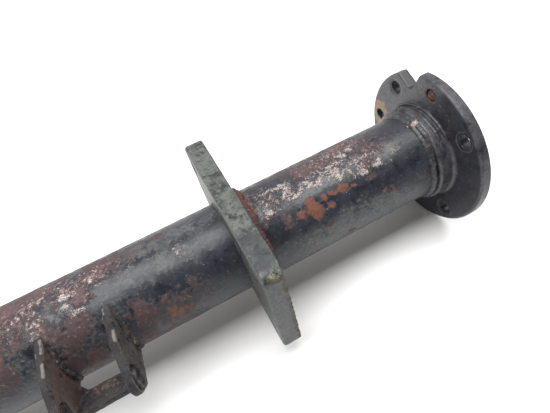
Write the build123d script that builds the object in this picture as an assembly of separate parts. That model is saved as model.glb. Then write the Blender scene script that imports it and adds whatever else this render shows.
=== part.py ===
"""Drive-shaft housing of a grain auger: a welded tube with a round end flange, a square-cut
mounting plate and a two-eared bracket, carrying a shaft on two ball bearings.

Frame, in millimetres: +X runs along the tube axis and out of the end flange, whose outer face
is at X = 0.  +Z is up, square to the long sides of the mounting plate.  The bracket points
towards -Y.  "Flange end" is the end with the round flange, "tail end" is the other one.
"""
from build123d import *
from math import asin, atan2, copysign, cos, hypot, radians, sin, sqrt
import os

# ---- tube -------------------------------------------------------------------------------
TUBE_R = 44.45                # 3 1/2 inch heavy-wall tube
TUBE_WALL = 6.35
TUBE_BORE_R = TUBE_R - TUBE_WALL
TUBE_END_FLANGE = -27.0       # where the tube butts against the hub collar
TUBE_END_TAIL = -560.0
WEEP_HOLE_R = 2.0
WEEP_HOLE_X = -385.5
WEEP_HOLE_DEG = 127.0         # angles about X are counted from +Y towards +Z

# ---- end flange and its hub ---------------------------------------------------------------
FLANGE_R = 83.6
FLANGE_T = 11.0
FLANGE_CHAMFER = 1.6
FLANGE_FACE_CHAMFER = 0.8
FLANGE_CLOCK_DEG = 47.5       # first bolt hole
BOLT_CIRCLE_R = 69.85         # 5 1/2 inch bolt circle
BOLT_HOLE_R = 6.75            # clears a half-inch bolt
SPOTFACE_R = 10.0
SPOTFACE_DEPTH = 0.7
BOLT_COUNT = 4
JACK_HOLE_R = 6.0             # two smaller holes for jacking screws, one still filled
JACK_HOLE_DEG = FLANGE_CLOCK_DEG - 45.0
STUD_HOLE_DEG = FLANGE_CLOCK_DEG + 45.0
STUD_RECESS = 1.6
NOTCH_DEG = 68.4
NOTCH_HALF_WIDTH = 17.0
NOTCH_DEPTH = 15.5
NOTCH_FLOOR_HALF = 3.0
HUB_R = 50.0
HUB_FILLET = 2.5
HUB_CHAMFER = 1.5
SPIGOT_CLEARANCE = 0.05       # the hub's spigot slides into the tube

# ---- mounting plate -----------------------------------------------------------------------
PLATE_LENGTH = 183.0          # along Y
PLATE_WIDTH = 128.0           # along Z
PLATE_T = 19.0
PLATE_X = -233.5              # face towards the tail
PLATE_CORNER_R = 10.0
PLATE_ROUNDED_EDGE = 3.0      # worn-round outline of the face towards the tail
PLATE_HOLES_Y = 140.0
PLATE_HOLES_Z = 95.0

# ---- two-eared bracket --------------------------------------------------------------------
BRACKET_DEG = 170.0           # direction in which the ears point
EAR_T = 6.35
EAR_FLANGE_X = -353.5         # inner face of the ear nearer the flange
EAR_TAIL_X = -402.5           # inner face of the ear nearer the tail
EAR_TIP_R = 13.0
PIN_REACH = 83.5              # pin axis from the tube axis
EAR_BASE = 20.0               # where the outline starts, inside the tube
EAR_FRONT_HALF = 35.0
EAR_KNEE = (66.0, 28.5)       # the front edge turns in towards the tip here
EAR_BACK_HALF = 27.0
EAR_BACK_HALF_AT_WEB = 23.0
WEB_T = 6.0
WEB_FROM, WEB_TO = 57.0, 77.0
GUSSET_X, GUSSET_REACH = 9.0, 10.0
BUSH_R = 9.5
BUSH_PROUD = 2.4
PIN_R = 6.5

# ---- welds --------------------------------------------------------------------------------
PLATE_WELD = 8.0
PLATE_GROOVE = 5.0            # flush weld in a bevel, on the face towards the tail
EAR_WELD = 5.0
EAR_WELD_SPREAD = 38.0        # degrees of weld each side of the bracket's direction
HUB_WELD_LENGTH = 6.0
HUB_WELD_SHOULDER = 2.5

# ---- shaft, bearings and seals: sizes of a 6207 bearing and a 35 x 72 x 8 seal -------------
TAIL_FACE = -588.0
SEAT_R = 17.5
BORE_R = 36.0
SHAFT_R = 21.0
STUB_R = 15.0
STUB_CHAMFER = 1.5
SEAT_PAST_FACE = 2.0          # the bearing seat's diameter runs this far out of each end
FLANGE_STUB = 44.0
TAIL_STUB = 62.0
SEAL_FROM, SEAL_TO = 1.0, 9.0
RING_FROM, RING_TO = 10.0, 12.5
BEARING_FROM, BEARING_TO = 12.6, 29.6
SHAFT_RING_T = 1.5
BORE_GROOVE_DEPTH = 1.5
SHAFT_GROOVE_DEPTH = 0.85
THROUGH_R = 31.0
SPIGOT_TO = 47.0
BALL_R = 5.555
BALL_PITCH_R = 26.75
BALL_COUNT = 9
BALL_PLAY = 0.02
CAGE_R_IN, CAGE_R_OUT = 25.0, 28.4
CAGE_HALF_WIDTH = 6.4
POCKET_PLAY = 0.12
GROOVE_R = 5.78
INNER_LAND_R = 23.45
OUTER_LAND_R = 30.3
SEAL_GAP = 0.04
KEY_WIDTH, KEY_DEPTH, KEY_LENGTH = 8.0, 4.0, 30.0
KEY_FROM_END = 4.0
KEY_DEG = 65.0                # both keyways are cut on this side of the shaft

PARTS = "parts"


# ---- helpers ------------------------------------------------------------------------------
def turned(outline, sweep=360.0):
    """Solid of revolution about X from (x, radius) corners."""
    face = make_face(Polyline(*[(x, r, 0) for x, r in outline], close=True))
    return revolve(face, Axis.X, sweep)


def tube_piece(x0, x1, r_in, r_out):
    return turned([(x0, r_in), (x1, r_in), (x1, r_out), (x0, r_out)])


def rod(x0, x1, r, y=0.0, z=0.0):
    """Solid cylinder along X."""
    return Pos(min(x0, x1), y, z) * Rot(0, 90, 0) * Cylinder(
        r, abs(x1 - x0), align=(Align.CENTER, Align.CENTER, Align.MIN))


def polar(radius, degrees):
    return radius * cos(radians(degrees)), radius * sin(radians(degrees))


def rod_at(x0, x1, r, reach, degrees):
    y, z = polar(reach, degrees)
    return rod(x0, x1, r, y, z)


def about_x(shape, degrees):
    return Rot(degrees, 0, 0) * shape


def donut(x, major, minor):
    return Pos(x, 0, 0) * Rot(0, 90, 0) * Torus(major, minor)


def save(name, shape):
    shape.label = name
    export_step(shape, os.path.join(PARTS, name + ".step"))


def save_group(name, solids):
    save(name, Compound(children=solids))


# ---- welded housing -----------------------------------------------------------------------
def housing_tube():
    body = tube_piece(TUBE_END_TAIL, TUBE_END_FLANGE, TUBE_BORE_R, TUBE_R)
    weep = Pos(WEEP_HOLE_X, 0, 0) * Cylinder(
        WEEP_HOLE_R, 2 * TUBE_R, align=(Align.CENTER, Align.CENTER, Align.MIN))
    return body - about_x(weep, WEEP_HOLE_DEG - 90.0)


def flange_notch():
    """Vee-shaped bite with a short flat floor, taken out of the flange's rim."""
    past_rim = 3.0
    rim = FLANGE_R + past_rim
    flare = NOTCH_HALF_WIDTH * (1 + past_rim / NOTCH_DEPTH)
    floor = FLANGE_R - NOTCH_DEPTH
    corners = [(0, floor, -NOTCH_FLOOR_HALF), (0, rim, -flare),
               (0, rim, flare), (0, floor, NOTCH_FLOOR_HALF)]
    bite = extrude(make_face(Polyline(*corners, close=True)), 2 * FLANGE_T, dir=(-1, 0, 0))
    return about_x(Pos(FLANGE_T / 2, 0, 0) * bite, NOTCH_DEG)


def bearing_seat(face_x, inward):
    """The stepped hole for one end: seal, snap-ring groove, bearing and clearance bore."""
    def at(depth):
        return face_x + inward * depth
    hole = rod(at(-1.0), at(BEARING_TO), BORE_R)
    hole += rod(at(RING_FROM), at(RING_TO), BORE_R + BORE_GROOVE_DEPTH)
    hole += rod(at(BEARING_TO - 1.0), at(SPIGOT_TO + 4.0), THROUGH_R)
    return hole


def end_flange():
    disc = turned([(-FLANGE_T, 0), (0, 0), (0, FLANGE_R - FLANGE_FACE_CHAMFER),
                   (-FLANGE_FACE_CHAMFER, FLANGE_R),
                   (-FLANGE_T + FLANGE_CHAMFER, FLANGE_R),
                   (-FLANGE_T, FLANGE_R - FLANGE_CHAMFER)])
    hub_start = -FLANGE_T
    hub = turned([(hub_start, 0), (hub_start, HUB_R + HUB_FILLET),
                  (hub_start - HUB_FILLET, HUB_R), (TUBE_END_FLANGE + HUB_CHAMFER, HUB_R),
                  (TUBE_END_FLANGE, HUB_R - HUB_CHAMFER), (TUBE_END_FLANGE, 0)])
    spigot = rod(TUBE_END_FLANGE, -SPIGOT_TO, TUBE_BORE_R - SPIGOT_CLEARANCE)
    body = disc + hub + spigot - bearing_seat(0.0, -1.0) - flange_notch()
    for i in range(BOLT_COUNT):
        angle = FLANGE_CLOCK_DEG + 360.0 * i / BOLT_COUNT
        body -= rod_at(-2 * FLANGE_T, 1.0, BOLT_HOLE_R, BOLT_CIRCLE_R, angle)
        body -= rod_at(-2 * FLANGE_T, -FLANGE_T + SPOTFACE_DEPTH, SPOTFACE_R, BOLT_CIRCLE_R, angle)
    for angle in (JACK_HOLE_DEG, STUD_HOLE_DEG):
        body -= rod_at(-2 * FLANGE_T, 1.0, JACK_HOLE_R, BOLT_CIRCLE_R, angle)
    return body


def sheared_stud():
    return rod_at(-FLANGE_T + STUD_RECESS, -1.0, JACK_HOLE_R, BOLT_CIRCLE_R, STUD_HOLE_DEG)


def tail_hub():
    inner_face = TUBE_END_TAIL
    collar = turned([(TAIL_FACE, 0), (TAIL_FACE, HUB_R - HUB_CHAMFER), (TAIL_FACE + HUB_CHAMFER, HUB_R),
                     (inner_face - HUB_CHAMFER, HUB_R), (inner_face, HUB_R - HUB_CHAMFER),
                     (inner_face, 0)])
    spigot = rod(inner_face, TAIL_FACE + SPIGOT_TO, TUBE_BORE_R - SPIGOT_CLEARANCE)
    return collar + spigot - bearing_seat(TAIL_FACE, 1.0)


def hub_weld(tube_end, inward):
    """Bead that runs from the hub collar's corner down onto the tube."""
    return turned([(tube_end, TUBE_R), (tube_end, HUB_R - HUB_CHAMFER),
                   (tube_end + inward * HUB_WELD_SHOULDER, HUB_R - HUB_CHAMFER - 0.7),
                   (tube_end + inward * HUB_WELD_LENGTH, TUBE_R)])


def mounting_plate():
    blank = Box(PLATE_T, PLATE_LENGTH, PLATE_WIDTH, align=(Align.MIN, Align.CENTER, Align.CENTER))
    blank = fillet(blank.edges().filter_by(Axis.X), PLATE_CORNER_R)
    blank = fillet(blank.faces().sort_by(Axis.X)[0].edges(), PLATE_ROUNDED_EDGE)
    plate = Pos(PLATE_X, 0, 0) * blank
    end_x = PLATE_X + PLATE_T
    plate -= rod(PLATE_X - 1, end_x + 1, TUBE_R)
    plate -= fillet_weld(PLATE_X, 1.0, PLATE_GROOVE)
    for y in (-PLATE_HOLES_Y / 2, PLATE_HOLES_Y / 2):
        for z in (-PLATE_HOLES_Z / 2, PLATE_HOLES_Z / 2):
            plate -= rod(PLATE_X - 1, end_x + 1, BOLT_HOLE_R, y, z)
    return plate


def fillet_weld(face_x, inward, leg, sweep=360.0, start_deg=0.0):
    """Triangular bead round the tube, in the corner with a plate face or in that face's bevel."""
    bead = turned([(face_x, TUBE_R), (face_x, TUBE_R + leg), (face_x + inward * leg, TUBE_R)], sweep)
    return about_x(bead, start_deg)


# ---- bracket, drawn with its reach along +Y and its upper edge towards +Z, then turned ------
def place_bracket(shape):
    """Turn a bracket piece from the drawing position to its place on the tube."""
    return about_x(mirror(shape, Plane.XY), BRACKET_DEG)


def touching_tip(reach, offset):
    """Where a straight edge from (reach, offset) meets the ear's round tip."""
    away, side = PIN_REACH - reach, abs(offset)
    turn = asin(EAR_TIP_R / hypot(away, side)) - atan2(side, away)
    length = sqrt(away ** 2 + side ** 2 - EAR_TIP_R ** 2)
    return reach + length * cos(turn), copysign(side + length * sin(turn), offset)


def clevis_ear(inner_x, outward):
    back_corner = (WEB_TO + 1.0, -EAR_BACK_HALF_AT_WEB)
    corners = [(EAR_BASE, EAR_FRONT_HALF), EAR_KNEE, touching_tip(*EAR_KNEE),
               touching_tip(*back_corner), back_corner, (EAR_BASE, -EAR_BACK_HALF)]
    outline = [(inner_x, reach, offset) for reach, offset in corners]
    ear = extrude(make_face(Polyline(*outline, close=True)), EAR_T, dir=(outward, 0, 0))
    outer_x = inner_x + outward * EAR_T
    ear += rod(inner_x, outer_x, EAR_TIP_R, PIN_REACH)
    ear -= rod(inner_x - 1, inner_x + 1, TUBE_R) + rod(inner_x, outer_x + outward, TUBE_R)
    ear -= rod(inner_x - outward, outer_x + outward, BUSH_R, PIN_REACH)
    return place_bracket(ear)


def clevis_bush(inner_x, outward):
    outer_x = inner_x + outward * (EAR_T + BUSH_PROUD)
    ring = rod(inner_x, outer_x, BUSH_R, PIN_REACH) - rod(inner_x, outer_x, PIN_R, PIN_REACH)
    return place_bracket(ring)


def clevis_web():
    strip = Box(EAR_FLANGE_X - EAR_TAIL_X, WEB_TO - WEB_FROM, WEB_T, align=(Align.MIN,) * 3)
    low = -EAR_BACK_HALF_AT_WEB - 1.0
    strip = Pos(EAR_TAIL_X, WEB_FROM, low) * strip
    corners = [(EAR_TAIL_X, WEB_FROM, low), (EAR_TAIL_X + GUSSET_X, WEB_FROM, low),
               (EAR_TAIL_X, WEB_FROM - GUSSET_REACH, low)]
    strip += extrude(make_face(Polyline(*corners, close=True)), WEB_T, dir=(0, 0, 1))
    return place_bracket(strip)


def clevis_weld(face_x, outward):
    """Bead along the foot of an ear, over the part of the tube that the ear covers."""
    return fillet_weld(face_x, outward, EAR_WELD, 2 * EAR_WELD_SPREAD, BRACKET_DEG - EAR_WELD_SPREAD)


# ---- shaft --------------------------------------------------------------------------------
def drive_shaft():
    shoulder_a = -BEARING_TO
    shoulder_b = TAIL_FACE + BEARING_TO
    tail_end = TAIL_FACE - TAIL_STUB
    core = turned([
        (tail_end, 0), (tail_end, STUB_R - STUB_CHAMFER), (tail_end + STUB_CHAMFER, STUB_R),
        (TAIL_FACE - SEAT_PAST_FACE, STUB_R), (TAIL_FACE - SEAT_PAST_FACE, SEAT_R),
        (shoulder_b, SEAT_R), (shoulder_b, SHAFT_R), (shoulder_a, SHAFT_R), (shoulder_a, SEAT_R),
        (SEAT_PAST_FACE, SEAT_R), (SEAT_PAST_FACE, STUB_R), (FLANGE_STUB - STUB_CHAMFER, STUB_R),
        (FLANGE_STUB, STUB_R - STUB_CHAMFER), (FLANGE_STUB, 0)])
    for face_x, inward in ((0.0, -1.0), (TAIL_FACE, 1.0)):
        near = face_x + inward * (BEARING_FROM - SHAFT_RING_T)
        far = face_x + inward * BEARING_FROM
        core -= tube_piece(min(near, far), max(near, far), SEAT_R - SHAFT_GROOVE_DEPTH, SEAT_R + 1)
        core -= keyway(face_x, inward)
    return core


def keyway(face_x, inward):
    """Cutter for a round-ended keyway in a shaft stub."""
    stub = FLANGE_STUB if inward < 0 else TAIL_STUB
    middle = face_x - inward * (stub - KEY_FROM_END - KEY_LENGTH / 2)
    low = STUB_R - KEY_DEPTH
    bar = Box(KEY_LENGTH - KEY_WIDTH, KEY_WIDTH, 2 * KEY_DEPTH,
              align=(Align.CENTER, Align.CENTER, Align.MIN))
    reach = (KEY_LENGTH - KEY_WIDTH) / 2
    for x in (-reach, reach):
        bar += Pos(x, 0, 0) * Cylinder(KEY_WIDTH / 2, 2 * KEY_DEPTH,
                                       align=(Align.CENTER, Align.CENTER, Align.MIN))
    return about_x(Pos(middle, 0, low) * bar, KEY_DEG - 90.0)


# ---- bearing, seal and rings at one end -----------------------------------------------------
def ball_bearing(face_x, inward):
    near = face_x + inward * BEARING_FROM
    far = face_x + inward * BEARING_TO
    middle = (near + far) / 2
    x0, x1 = min(near, far), max(near, far)
    inner_major = BALL_PITCH_R - BALL_R - BALL_PLAY + GROOVE_R
    outer_major = BALL_PITCH_R + BALL_R + BALL_PLAY - GROOVE_R
    shield_x = far - inward * 1.6
    s0, s1 = min(shield_x, shield_x + inward * 0.8), max(shield_x, shield_x + inward * 0.8)
    balls = []
    cage = tube_piece(-CAGE_HALF_WIDTH, CAGE_HALF_WIDTH, CAGE_R_IN, CAGE_R_OUT)
    for i in range(BALL_COUNT):
        y, z = polar(BALL_PITCH_R, 360.0 * i / BALL_COUNT)
        balls.append(Pos(middle, y, z) * Sphere(BALL_R))
        cage -= Pos(0, y, z) * Sphere(BALL_R + POCKET_PLAY)
    return {
        "outer_race": tube_piece(x0, x1, OUTER_LAND_R, BORE_R) - donut(middle, outer_major, GROOVE_R),
        "inner_race": tube_piece(x0, x1, SEAT_R, INNER_LAND_R) - donut(middle, inner_major, GROOVE_R),
        "shield": tube_piece(s0, s1, INNER_LAND_R + 0.1, OUTER_LAND_R),
        "cage": Pos(middle, 0, 0) * cage,
        "balls": balls,
    }


def oil_seal(face_x, inward):
    def section(points):
        return turned([(face_x + inward * depth, r) for depth, r in points])
    rubber = section([(SEAL_FROM, BORE_R - 1), (SEAL_FROM, SEAT_R + 1.5), (3.0, SEAT_R + SEAL_GAP),
                      (5.2, SEAT_R + SEAL_GAP), (6.8, SEAT_R + 1.8), (6.8, SEAT_R + 4.0),
                      (3.2, SEAT_R + 4.0), (3.2, BORE_R - 1)])
    case = section([(SEAL_FROM, BORE_R), (SEAL_TO, BORE_R), (SEAL_TO, BORE_R - 6),
                    (SEAL_TO - 1, BORE_R - 6), (SEAL_TO - 1, BORE_R - 1), (SEAL_FROM, BORE_R - 1)])
    spring = donut(face_x + inward * 5.0, SEAT_R + 4.85, 0.8)
    return {"seal_lip": rubber, "seal_case": case, "garter_spring": spring}


def split_ring(x0, x1, r_in, r_out, gap, eye_reach):
    """Snap ring: open at the bottom, with a plier eye on each side of the gap."""
    ring = tube_piece(x0, x1, r_in, r_out)
    ring -= Pos((x0 + x1) / 2, 0, -r_out) * Box(2 * (x1 - x0), gap, 2 * (r_out - r_in) + 6)
    for side in (-1, 1):
        ring -= rod_at(x0 - 1, x1 + 1, 1.0, eye_reach, -90 + side * 15.0)
    return ring


def snap_rings(face_x, inward):
    a, b = face_x + inward * RING_FROM, face_x + inward * RING_TO
    c, d = face_x + inward * (BEARING_FROM - SHAFT_RING_T), face_x + inward * BEARING_FROM
    return {
        "bore_snap_ring": split_ring(min(a, b), max(a, b), BORE_R - 3.6,
                                     BORE_R + BORE_GROOVE_DEPTH - 0.05, 16.0, BORE_R - 1.6),
        "shaft_snap_ring": split_ring(min(c, d), max(c, d), SEAT_R - SHAFT_GROOVE_DEPTH,
                                      SEAT_R + 3.6, 6.0, SEAT_R + 1.6),
    }


# ---- write every piece ----------------------------------------------------------------------
def main():
    os.makedirs(PARTS, exist_ok=True)
    plate_far = PLATE_X + PLATE_T
    ears = {"flange": (EAR_FLANGE_X, 1), "tail": (EAR_TAIL_X, -1)}

    save("housing_tube", housing_tube())
    save("end_flange", end_flange())
    save("sheared_stud", sheared_stud())
    save("flange_hub_weld", hub_weld(TUBE_END_FLANGE, -1.0))
    save("tail_hub", tail_hub())
    save("tail_hub_weld", hub_weld(TUBE_END_TAIL, 1.0))
    save("mounting_plate", mounting_plate())
    save("plate_weld_flange_side", fillet_weld(plate_far, 1.0, PLATE_WELD))
    save("plate_weld_tail_side", fillet_weld(PLATE_X, 1.0, PLATE_GROOVE))
    for side, (inner_x, outward) in ears.items():
        outer_x = inner_x + outward * EAR_T
        save(f"clevis_ear_{side}_side", clevis_ear(inner_x, outward))
        save(f"clevis_bush_{side}_side", clevis_bush(inner_x, outward))
        save_group(f"clevis_welds_{side}_side",
                   [clevis_weld(outer_x, outward), clevis_weld(inner_x, -outward)])
    save("clevis_web", clevis_web())

    save("drive_shaft", drive_shaft())
    for end, face_x, inward in (("flange", 0.0, -1.0), ("tail", TAIL_FACE, 1.0)):
        bearing = ball_bearing(face_x, inward)
        save_group(f"{end}_bearing_balls", bearing.pop("balls"))
        for piece, shape in bearing.items():
            save(f"{end}_bearing_{piece}", shape)
        for piece, shape in {**oil_seal(face_x, inward), **snap_rings(face_x, inward)}.items():
            save(f"{end}_{piece}", shape)


main()
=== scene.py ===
"""Looks of the grain-auger shaft housing: worn black paint, maroon rust, pale flakes, weld beads.

Lengths are in metres unless a comment says mm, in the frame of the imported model: +X along the tube
and out of the end flange, +Z up.  Angles round the tube are in degrees from +Y towards +Z.
"""
from math import cos, radians, sin, tau

import bpy
import numpy as np
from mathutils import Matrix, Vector


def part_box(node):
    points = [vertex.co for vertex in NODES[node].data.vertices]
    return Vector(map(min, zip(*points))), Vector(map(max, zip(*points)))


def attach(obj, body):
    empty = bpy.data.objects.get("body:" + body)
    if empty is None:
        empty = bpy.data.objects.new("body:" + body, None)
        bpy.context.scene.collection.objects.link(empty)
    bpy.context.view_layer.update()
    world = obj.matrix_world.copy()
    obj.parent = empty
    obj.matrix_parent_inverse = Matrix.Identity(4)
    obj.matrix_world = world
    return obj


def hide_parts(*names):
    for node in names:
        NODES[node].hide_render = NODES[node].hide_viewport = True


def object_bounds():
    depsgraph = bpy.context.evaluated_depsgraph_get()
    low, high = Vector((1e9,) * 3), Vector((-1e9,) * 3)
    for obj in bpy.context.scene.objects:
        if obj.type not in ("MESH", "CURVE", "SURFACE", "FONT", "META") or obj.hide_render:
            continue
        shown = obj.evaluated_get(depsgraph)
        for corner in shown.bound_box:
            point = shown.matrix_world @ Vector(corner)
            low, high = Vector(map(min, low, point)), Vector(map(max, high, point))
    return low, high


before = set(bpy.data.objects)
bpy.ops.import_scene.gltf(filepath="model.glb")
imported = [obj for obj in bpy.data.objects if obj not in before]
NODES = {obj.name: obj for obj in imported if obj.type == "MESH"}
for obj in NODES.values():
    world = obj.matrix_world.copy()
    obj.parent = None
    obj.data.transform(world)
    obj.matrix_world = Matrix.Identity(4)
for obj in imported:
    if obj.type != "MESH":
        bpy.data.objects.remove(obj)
cad_low, cad_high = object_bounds()
MM = 0.001
HOUSING = "housing"
WEAR = "wear"                      # vertex colour: maroon rust, orange rust, pale flakes, bare or chalky

TUBE_LOW, TUBE_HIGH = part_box("housing_tube")
TUBE_R = (TUBE_HIGH[1] - TUBE_LOW[1]) / 2
TUBE_WALL = 6.35 * MM
PLATE_LOW, PLATE_HIGH = np.round(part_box("mounting_plate"), 6)    # a wear limit falls on a row of vertices
PLATE_X = (PLATE_LOW[0] + PLATE_HIGH[0]) / 2
EARS = {side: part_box("clevis_ear_" + side) for side in ("flange_side", "tail_side")}
BETWEEN_EARS_X = (EARS["tail_side"][1][0] + EARS["flange_side"][0][0]) / 2


# ------------------------------------------------------------------------------ noise in numpy
def lattice(ix, iy, iz, seed):
    """Repeatable value in -1..1 for each whole-number corner, from a plain integer hash."""
    h = (ix * 374761393 + iy * 668265263 + iz * 2147483647 + seed * 1274126177) & 0xFFFFFFFF
    h = ((h ^ (h >> 13)) * 1274126177) & 0xFFFFFFFF
    h = ((h ^ (h >> 16)) * 2246822519) & 0xFFFFFFFF
    return ((h >> 8) & 0xFFFF) / 32767.5 - 1.0


def value_noise(points, size, seed):
    """Smooth noise with lumps about `size` across."""
    p = points / size
    base = np.floor(p)
    f = p - base
    f = f * f * (3 - 2 * f)
    i = base.astype(np.int64)
    total = 0.0
    for dx in (0, 1):
        for dy in (0, 1):
            for dz in (0, 1):
                weight = (np.where(dx, f[:, 0], 1 - f[:, 0]) * np.where(dy, f[:, 1], 1 - f[:, 1])
                          * np.where(dz, f[:, 2], 1 - f[:, 2]))
                total = total + weight * lattice(i[:, 0] + dx, i[:, 1] + dy, i[:, 2] + dz, seed)
    return total


def fractal(points, size, octaves, seed, gain=0.55):
    """Several layers of noise, each half the size of the one before; within -1..1."""
    total, strength, top = 0.0, 1.0, 0.0
    for octave in range(octaves):
        total = total + strength * value_noise(points, size / 2 ** octave, seed + 17 * octave)
        top += strength
        strength *= gain
    return total / top


def smoothstep(low, high, x):
    """0 at `low`, 1 at `high`, with a soft start and end; `low` may be the greater one."""
    t = np.clip((x - low) / (high - low), 0, 1)
    return t * t * (3 - 2 * t)


# ------------------------------------------------------------------------------ places on the part
SPOT_FADE = (0.4, 1.2)             # a soft spot fades out between these shares of its width


def on_circle(x, degrees, reach):
    """A spot from its x, its angle round the axis and its distance from the axis."""
    return x, reach * cos(radians(degrees)), reach * sin(radians(degrees))


def near_spot(co, x, y, z, width):
    """1 inside a soft ball, `width` mm in radius, round a spot given in mm."""
    away = np.linalg.norm(co / MM - np.array([x, y, z]), axis=1)
    return 1 - smoothstep(*SPOT_FADE, away / width)


def near_streak(co, start, end, width):
    """1 inside a soft stroke, `width` mm to each side of the line between two spots given in mm."""
    start, end = np.array(start), np.array(end)
    along = end - start
    share = np.clip((co / MM - start) @ along / (along @ along), 0, 1)
    away = np.linalg.norm(co / MM - start - share[:, None] * along, axis=1)
    return 1 - smoothstep(*SPOT_FADE, away / width)


def away_from(co, spot):
    """Distance in mm from the line along X through a spot given in mm."""
    return np.hypot(co[:, 1] / MM - spot[1], co[:, 2] / MM - spot[2])


# ------------------------------------------------------------------------------ mesh helpers
def link(obj):
    """Put a new object in the scene."""
    bpy.context.scene.collection.objects.link(obj)
    return obj


def new_piece(name, verts, faces, smooth=True):
    """A new object from its corner points and faces."""
    mesh = bpy.data.meshes.new(name)
    mesh.from_pydata(verts, [], faces)
    mesh.update()
    if smooth:
        mesh.polygons.foreach_set("use_smooth", [True] * len(mesh.polygons))
    return link(bpy.data.objects.new(name, mesh))


def vertex_values(mesh, key):
    """A vector of every vertex, such as its place or its normal, as rows of an array."""
    flat = np.empty(len(mesh.vertices) * 3, dtype=np.float32)
    mesh.vertices.foreach_get(key, flat)
    return flat.reshape(-1, 3).astype(np.float64)


def positions(mesh):
    """Places of all vertices."""
    return vertex_values(mesh, "co")


def normals(mesh):
    """Normals of all vertices."""
    return vertex_values(mesh, "normal")


def set_positions(mesh, points):
    """Move all vertices to the given places."""
    mesh.vertices.foreach_set("co", points.astype(np.float32).ravel())
    mesh.update()


def remeshed(node, name, voxel):
    """A dense copy of a CAD node's shape, with the corners softened by about a voxel."""
    mesh = NODES[node].data.copy()
    piece = link(bpy.data.objects.new(name, mesh))
    mod = piece.modifiers.new("dense", "REMESH")
    mod.mode = "VOXEL"
    mod.voxel_size = voxel
    mod.use_smooth_shade = True
    bpy.context.view_layer.update()
    dense = bpy.data.meshes.new_from_object(piece.evaluated_get(bpy.context.evaluated_depsgraph_get()))
    piece.modifiers.clear()
    piece.data = dense
    dense.materials.clear()
    return piece


def convexity(mesh):
    """Per vertex, how sharply the surface turns outwards, in 1/metre, lightly smoothed."""
    co, no = positions(mesh), normals(mesh)
    ends = np.empty(len(mesh.edges) * 2, dtype=np.int32)
    mesh.edges.foreach_get("vertices", ends)
    a, b = ends.reshape(-1, 2).T
    step = co[b] - co[a]
    bend = ((no[b] - no[a]) * step).sum(1) / np.maximum((step * step).sum(1), 1e-12)
    count = np.bincount(a, minlength=len(co)) + np.bincount(b, minlength=len(co))
    for _ in range(2):
        total = np.bincount(a, bend, len(co)) + np.bincount(b, bend, len(co))
        curve = total / np.maximum(count, 1)
        bend = (curve[a] + curve[b]) / 2
    return curve


def paint_wear(piece, maroon, orange, flake, bare):
    """Store how densely each kind of wear covers each vertex; the materials break it up."""
    mesh = piece.data
    layer = mesh.color_attributes.new(WEAR, "FLOAT_COLOR", "POINT")
    rgba = np.stack([np.broadcast_to(v, len(mesh.vertices)) for v in (maroon, orange, flake, bare)], 1)
    layer.data.foreach_set("color", np.clip(rgba, 0, 1).astype(np.float32).ravel())


def weathered(node, name, voxel, wear, relief, seed, edge=0.6):
    """Dense copy of a node with a rough face, `relief` mm deep, and bare metal on its edges.

    `wear` gives the maroon, orange, pale and bare densities from places, normals and two noises.
    """
    piece = remeshed(node, name, voxel)
    co, no = positions(piece.data), normals(piece.data)
    turn = smoothstep(100, 420, convexity(piece.data))
    big = fractal(co, 0.022, 4, seed)
    fine = fractal(co, 0.004, 3, seed + 5)
    red, hot, pale, bare = wear(co, no, big, fine)
    bare = np.maximum(bare, turn * edge * smoothstep(-0.7, 0.5, big + 0.6 * fine))
    crust = np.clip(red + hot, 0, 1)
    depth = relief * MM * (0.5 * big + 0.5 * fine + crust * (0.5 * fine + 0.4 * big) - 0.8 * turn)
    set_positions(piece.data, co + no * depth[:, None])
    paint_wear(piece, red, hot, pale, bare)
    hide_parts(node)
    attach(piece, HOUSING)
    return piece


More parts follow.
